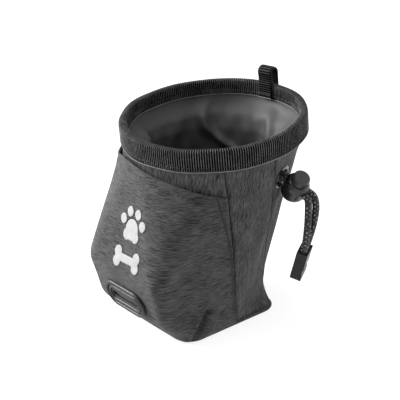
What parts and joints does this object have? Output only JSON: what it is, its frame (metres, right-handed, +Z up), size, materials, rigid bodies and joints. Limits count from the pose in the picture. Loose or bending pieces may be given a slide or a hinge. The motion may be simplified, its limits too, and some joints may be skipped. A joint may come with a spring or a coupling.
{
  "type": "treat pouch",
  "caption": "Drawstring treat pouch with a bound round mouth, square base, front pocket with a slotted bag dispenser, hang loop and sprung cord lock.",
  "frame": {"origin": "centre of the flat underside of the square base", "axes": "+Z up through the mouth, -Y towards the front pocket and dispenser, +X towards the drawcord and cord lock"},
  "size_m": [0.1206, 0.1254, 0.1316],
  "materials": {
    "shell": "matte heathered woven polyester",
    "pocket": "matte heathered woven polyester",
    "lining": "soft sheen woven nylon",
    "tape": "ribbed grosgrain",
    "webbing": "ribbed webbing",
    "cord": "braided with pale flecks",
    "print": "matte screen print",
    "rubber": "satin",
    "board": "matte",
    "hoop": "matte",
    "eyelet": "polished gunmetal",
    "lock": "semi-gloss",
    "button": "semi-gloss",
    "spring": "bright wire",
    "cord_end": "semi-gloss"
  },
  "bodies": {
    "pouch": {"base_panel": "tape", "base_board": "board", "base_piping": "tape", "front_panel": "shell", "right_side_panel": "shell", "left_side_panel": "shell", "back_panel": "shell", "lining_bag": "lining", "rim_hoop": "hoop", "rim_binding": "tape", "hang_loop_tails": "webbing", "pocket_panel": "pocket", "grommet_face": "rubber", "grommet_back": "rubber", "printed_mark": "print", "eyelet_barrel": "eyelet", "eyelet_washer": "eyelet", "drawcord_ring": "cord"},
    "hang_loop": {"hang_loop": "webbing"},
    "pocket_mouth": {"pocket_hem": "pocket"},
    "cord_run": {"drawcord_run": "cord"},
    "cord_tail": {"drawcord_tail": "cord"},
    "cord_end": {"cord_end_shell": "cord_end", "cord_end_plug": "cord_end", "cord_knot": "cord"},
    "cord_lock": {"lock_barrel": "lock", "lock_spring": "spring"},
    "lock_button": {"lock_button": "button"},
    "gather_tab_01": {"gather_tab_01": "lining"},
    "gather_tab_02": {"gather_tab_02": "lining"},
    "gather_tab_03": {"gather_tab_03": "lining"},
    "gather_tab_04": {"gather_tab_04": "lining"},
    "gather_tab_05": {"gather_tab_05": "lining"},
    "gather_tab_06": {"gather_tab_06": "lining"},
    "gather_tab_07": {"gather_tab_07": "lining"},
    "gather_tab_08": {"gather_tab_08": "lining"},
    "gather_tab_09": {"gather_tab_09": "lining"},
    "gather_tab_10": {"gather_tab_10": "lining"},
    "gather_tab_11": {"gather_tab_11": "lining"},
    "gather_tab_12": {"gather_tab_12": "lining"}
  },
  "joints": [
    {"name": "drawcord_pull", "type": "slide", "parent": "pouch", "child": "cord_run", "axis": [0.7307, 0.4304, -0.5299], "range_m": [0, 0.06], "deforming": ["drawcord_ring"]},
    {"name": "cord_swing", "type": "hinge", "parent": "cord_run", "child": "cord_tail", "pos_m": [0.06191, 0.03683, 0.07607], "axis": [0.5075, -0.8616, 0], "range_deg": [-8, 50]},
    {"name": "cord_end_swing", "type": "hinge", "parent": "cord_tail", "child": "cord_end", "pos_m": [0.0615, 0.0296, 0.0486], "axis": [-0.459, 0.859, 0.227], "range_deg": [-28, 28]},
    {"name": "cord_lock_slide", "type": "slide", "parent": "pouch", "child": "cord_lock", "axis": [0.7307, 0.4304, -0.5299], "range_m": [0, 0.0035]},
    {"name": "lock_button_press", "type": "slide", "parent": "cord_lock", "child": "lock_button", "axis": [-0.6216, 0.0985, -0.7771], "range_m": [0, 0.0035], "stiffness_N_per_m": 900, "springref_m": -0.002, "deforming": ["lock_spring"]},
    {"name": "hang_loop_fold", "type": "hinge", "parent": "pouch", "child": "hang_loop", "pos_m": [-0.00878, 0.06659, 0.1216], "axis": [0.9848, 0.1734, 0.0091], "range_deg": [-35, 35]},
    {"name": "pocket_open", "type": "hinge", "parent": "pouch", "child": "pocket_mouth", "pos_m": [0, -0.041, 0.07], "axis": [1, 0, 0], "range_deg": [0, 20]},
    {"name": "gather_draw_01", "type": "slide", "parent": "pouch", "child": "gather_tab_01", "axis": [-0.8607, -0.5083, -0.0266], "range_m": [0, 0.0193]},
    {"name": "gather_draw_02", "type": "slide", "parent": "pouch", "child": "gather_tab_02", "axis": [-0.4909, -0.87, -0.0456], "range_m": [0, 0.0193]},
    {"name": "gather_draw_03", "type": "slide", "parent": "pouch", "child": "gather_tab_03", "axis": [0.0105, -0.9986, -0.0523], "range_m": [0, 0.0193]},
    {"name": "gather_draw_04", "type": "slide", "parent": "pouch", "child": "gather_tab_04", "axis": [0.509, -0.8596, -0.045], "range_m": [0, 0.0193]},
    {"name": "gather_draw_05", "type": "slide", "parent": "pouch", "child": "gather_tab_05", "axis": [0.8712, -0.4902, -0.0257], "range_m": [0, 0.0193]},
    {"name": "gather_draw_06", "type": "slide", "parent": "pouch", "child": "gather_tab_06", "axis": [0.9999, 0.0105, 0.0005], "range_m": [0, 0.0193]},
    {"name": "gather_draw_07", "type": "slide", "parent": "pouch", "child": "gather_tab_07", "axis": [0.8607, 0.5083, 0.0266], "range_m": [0, 0.0193]},
    {"name": "gather_draw_08", "type": "slide", "parent": "pouch", "child": "gather_tab_08", "axis": [0.4909, 0.87, 0.0456], "range_m": [0, 0.0193]},
    {"name": "gather_draw_09", "type": "slide", "parent": "pouch", "child": "gather_tab_09", "axis": [-0.0105, 0.9986, 0.0523], "range_m": [0, 0.0193]},
    {"name": "gather_draw_10", "type": "slide", "parent": "pouch", "child": "gather_tab_10", "axis": [-0.509, 0.8596, 0.045], "range_m": [0, 0.0193]},
    {"name": "gather_draw_11", "type": "slide", "parent": "pouch", "child": "gather_tab_11", "axis": [-0.8712, 0.4902, 0.0257], "range_m": [0, 0.0193]},
    {"name": "gather_draw_12", "type": "slide", "parent": "pouch", "child": "gather_tab_12", "axis": [-0.9999, -0.0105, -0.0005], "range_m": [0, 0.0193]}
  ],
  "couplings": [
    {"joint": "gather_draw_01", "follows": "drawcord_pull", "ratio": 0.3181},
    {"joint": "gather_draw_02", "follows": "drawcord_pull", "ratio": 0.3181},
    {"joint": "gather_draw_03", "follows": "drawcord_pull", "ratio": 0.3181},
    {"joint": "gather_draw_04", "follows": "drawcord_pull", "ratio": 0.3181},
    {"joint": "gather_draw_05", "follows": "drawcord_pull", "ratio": 0.3181},
    {"joint": "gather_draw_06", "follows": "drawcord_pull", "ratio": 0.3181},
    {"joint": "gather_draw_07", "follows": "drawcord_pull", "ratio": 0.3181},
    {"joint": "gather_draw_08", "follows": "drawcord_pull", "ratio": 0.3181},
    {"joint": "gather_draw_09", "follows": "drawcord_pull", "ratio": 0.3181},
    {"joint": "gather_draw_10", "follows": "drawcord_pull", "ratio": 0.3181},
    {"joint": "gather_draw_11", "follows": "drawcord_pull", "ratio": 0.3181},
    {"joint": "gather_draw_12", "follows": "drawcord_pull", "ratio": 0.3181}
  ]
}
